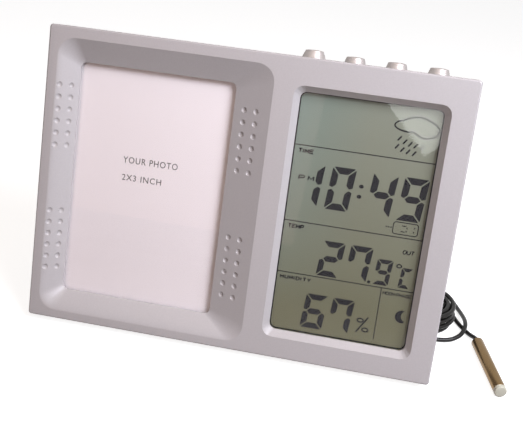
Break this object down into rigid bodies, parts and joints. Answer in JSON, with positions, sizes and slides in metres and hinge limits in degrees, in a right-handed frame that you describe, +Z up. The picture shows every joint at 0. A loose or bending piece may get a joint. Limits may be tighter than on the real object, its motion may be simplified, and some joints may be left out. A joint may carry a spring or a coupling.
{
  "type": "photo frame clock",
  "caption": "Leaning desk clock: picture recess with sliding card on the left, LCD weather display on the right, keys on top, fold-out leg and wired temperature probe behind.",
  "frame": {"origin": "middle of the clock's footprint at table height, measured without the probe and its lead", "axes": "+X to the right along the face, +Y from the face to the back, +Z up; the face leans back by 15 degrees"},
  "size_m": [0.154, 0.0648, 0.0935],
  "materials": {
    "case_silver": "satin silver paint over moulded plastic",
    "key_silver": "glossy champagne silver coating",
    "clear_plastic": "clear polished acrylic",
    "insert_card": "matt printed card",
    "inner_plastic": "white moulded plastic",
    "steel": "zinc plated",
    "lcd_film": "grey-green polarising film",
    "lcd_glass": "thin polished glass",
    "zebra_rubber": "layered silicone rubber",
    "board": "green glass-fibre laminate",
    "dark_plastic": "black moulded plastic",
    "resin": "cast resin",
    "capacitor_sleeve": "sleeved can",
    "cell_jacket": "plain printed jacket",
    "wire_red": "insulated wire",
    "black_rubber": "smooth black insulation",
    "probe_metal": "drawn steel tube",
    "probe_resin": "pale potting resin"
  },
  "bodies": {
    "case": {"front_frame": "case_silver", "picture_window": "clear_plastic", "picture_back": "inner_plastic", "picture_back_screws": "steel", "lcd_lens": "clear_plastic", "front_polariser": "lcd_film", "lcd_front_glass": "lcd_glass", "lcd_rear_glass": "lcd_glass", "rear_reflector": "lcd_film", "lcd_holder": "inner_plastic", "zebra_strips": "zebra_rubber", "circuit_board": "board", "board_screws": "steel", "switch_bodies": "dark_plastic", "chip_resin": "resin", "quartz_crystal": "steel", "capacitor": "capacitor_sleeve", "resistors": "dark_plastic", "buzzer": "dark_plastic", "humidity_sensor": "inner_plastic", "room_sensor": "resin", "rear_cover": "case_silver", "case_screws": "steel", "batteries": "cell_jacket", "battery_springs": "steel", "battery_plates": "steel", "wire_red": "wire_red", "wire_black": "black_rubber", "lead_connector": "inner_plastic", "inner_lead": "black_rubber", "lead_grommet": "black_rubber", "hinge_pin": "steel", "probe_lead": "black_rubber", "lead_coil": "black_rubber", "probe_tail": "black_rubber", "coil_tie": "black_rubber", "probe_tube": "probe_metal", "probe_cap": "probe_resin"},
    "card": {"picture_card": "insert_card"},
    "key_1": {"key_1": "key_silver", "plunger_1": "inner_plastic"},
    "key_2": {"key_2": "key_silver", "plunger_2": "inner_plastic"},
    "key_3": {"key_3": "key_silver", "plunger_3": "inner_plastic"},
    "key_4": {"key_4": "key_silver", "plunger_4": "inner_plastic"},
    "leg": {"stand_leg": "case_silver"},
    "door": {"battery_door": "case_silver"}
  },
  "joints": [
    {"name": "card_slide", "type": "slide", "parent": "case", "child": "card", "axis": [0, 0.2588, 0.9659], "range_m": [0, 0.078]},
    {"name": "key_1_press", "type": "slide", "parent": "case", "child": "key_1", "axis": [0, -0.2588, -0.9659], "range_m": [0, 0.0006], "stiffness_N_per_m": 300, "springref_m": -0.0005},
    {"name": "key_2_press", "type": "slide", "parent": "case", "child": "key_2", "axis": [0, -0.2588, -0.9659], "range_m": [0, 0.0006], "stiffness_N_per_m": 300, "springref_m": -0.0005},
    {"name": "key_3_press", "type": "slide", "parent": "case", "child": "key_3", "axis": [0, -0.2588, -0.9659], "range_m": [0, 0.0006], "stiffness_N_per_m": 300, "springref_m": -0.0005},
    {"name": "key_4_press", "type": "slide", "parent": "case", "child": "key_4", "axis": [0, -0.2588, -0.9659], "range_m": [0, 0.0006], "stiffness_N_per_m": 300, "springref_m": -0.0005},
    {"name": "leg_fold", "type": "hinge", "parent": "case", "child": "leg", "pos_m": [0, 0.01037, 0.05304], "axis": [-1, 0, 0], "range_deg": [0, 30]},
    {"name": "door_swing", "type": "hinge", "parent": "case", "child": "door", "pos_m": [-0.04, 0.00192, 0.01573], "axis": [-1, 0, 0], "range_deg": [0, 90]}
  ]
}
